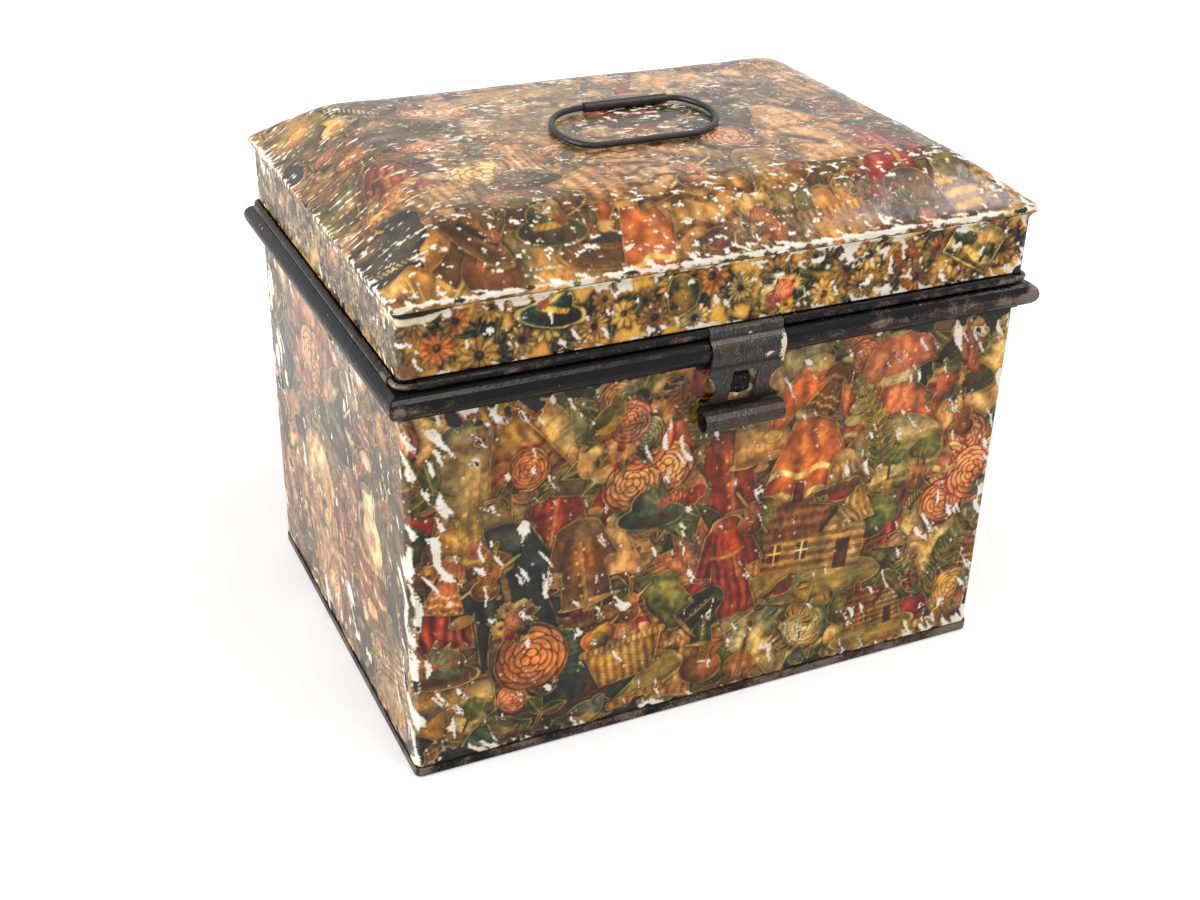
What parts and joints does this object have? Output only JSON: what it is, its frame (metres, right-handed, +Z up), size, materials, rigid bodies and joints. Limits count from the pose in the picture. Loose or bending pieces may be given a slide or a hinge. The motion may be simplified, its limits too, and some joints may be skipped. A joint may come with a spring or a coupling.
{
  "type": "metal storage box",
  "caption": "Tinplate storage box with a hipped hinged lid on a wired edge, a half-round moulding, a slotted swinging hasp and a folding wire bail handle.",
  "frame": {"origin": "centre of the body's base, at floor level", "axes": "+Z up, -Y to the front (hasp side), +X to the right seen from the front"},
  "size_m": [0.4252, 0.3233, 0.3539],
  "materials": {
    "japanned_tin": "black japan, glossy, worn to brown at the edges",
    "papered_tin": "tinplate covered with varnished paper cut-outs, yellowed gloss varnish, chipped",
    "worn_steel": "japanned steel worn to dull grey-brown metal",
    "varnished_paper": "printed paper cut-outs under yellowed gloss varnish"
  },
  "bodies": {
    "box": {"base_pan": "japanned_tin", "wall_front": "papered_tin", "wall_back": "papered_tin", "wall_left": "papered_tin", "wall_right": "papered_tin", "moulding_front": "japanned_tin", "moulding_back": "japanned_tin", "moulding_left": "japanned_tin", "moulding_right": "japanned_tin", "staple": "worn_steel", "hinge_left": "worn_steel", "hinge_right": "worn_steel", "rivet_left_1": "worn_steel", "rivet_left_2": "worn_steel", "rivet_right_1": "worn_steel", "rivet_right_2": "worn_steel"},
    "lid": {"lid_skirt": "papered_tin", "lid_wire": "japanned_tin", "lid_top": "papered_tin", "handle_clip": "worn_steel"},
    "handle": {"handle": "worn_steel"},
    "hasp": {"hasp": "worn_steel"}
  },
  "joints": [
    {"name": "lid_hinge", "type": "hinge", "parent": "box", "child": "lid", "pos_m": [0, 0.1525, 0.2689], "axis": [-1, 0, 0], "range_deg": [0, 135]},
    {"name": "hasp_hinge", "type": "hinge", "parent": "lid", "child": "hasp", "pos_m": [0.0045, -0.1525, 0.2689], "axis": [-1, 0, 0], "range_deg": [0, 145]},
    {"name": "handle_hinge", "type": "hinge", "parent": "lid", "child": "handle", "pos_m": [-0.001, 0.0235, 0.35076], "axis": [-1, 0, 0], "range_deg": [0, 175]}
  ]
}
